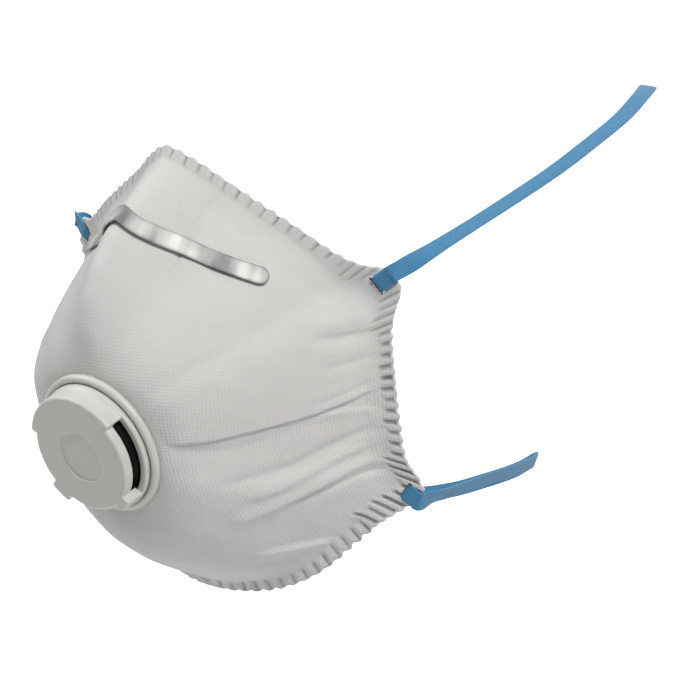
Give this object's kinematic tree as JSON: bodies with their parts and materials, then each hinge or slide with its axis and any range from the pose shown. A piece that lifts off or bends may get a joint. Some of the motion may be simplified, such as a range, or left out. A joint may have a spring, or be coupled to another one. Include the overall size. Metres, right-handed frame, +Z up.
{
  "type": "disposable dust mask",
  "caption": "Moulded cup dust mask with a crimped fabric border, bendable nose clip, exhalation valve with a rubber flap, and upper and lower elastic head straps.",
  "frame": {"origin": "middle of the face opening, between the tabs", "axes": "+Z up as worn, +Y towards the wearer, +X the wearer's left"},
  "size_m": [0.1398, 0.212, 0.1473],
  "materials": {
    "outer_fabric": "matte off-white embossed non-woven",
    "shell_fabric": "stiff moulded non-woven",
    "filter_fabric": "soft fibre mat",
    "liner_fabric": "smooth non-woven",
    "clip_metal": "bright",
    "foam": "fine-celled foam",
    "valve_plastic": "satin white",
    "flap_rubber": "thin matte sheet",
    "strap_elastic": "blue woven elastic"
  },
  "bodies": {
    "mask": {"outer_cover": "outer_fabric", "support_shell": "shell_fabric", "filter_layer": "filter_fabric", "inner_liner": "liner_fabric", "nose_clip": "clip_metal", "nose_foam": "foam", "valve_seat": "valve_plastic", "valve_backing_ring": "valve_plastic", "valve_cover": "valve_plastic", "upper_strap_ends": "strap_elastic", "lower_strap_ends": "strap_elastic"},
    "flap": {"valve_flap": "flap_rubber"},
    "upper_loop": {"upper_strap": "strap_elastic"},
    "lower_loop": {"lower_strap": "strap_elastic"}
  },
  "joints": [
    {"name": "flap_hinge", "type": "hinge", "parent": "mask", "child": "flap", "pos_m": [0, -0.05291, 0.0031], "axis": [-1, 0, 0], "range_deg": [0, 12], "stiffness_Nm_per_rad": 0.001, "springref_deg": -8.59},
    {"name": "upper_strap_swing", "type": "hinge", "parent": "mask", "child": "upper_loop", "pos_m": [0, 0.00664, 0.03166], "axis": [1, 0, 0], "range_deg": [-15, 45]},
    {"name": "lower_strap_swing", "type": "hinge", "parent": "mask", "child": "lower_loop", "pos_m": [0, 0.008, -0.03438], "axis": [1, 0, 0], "range_deg": [-45, 10]}
  ]
}
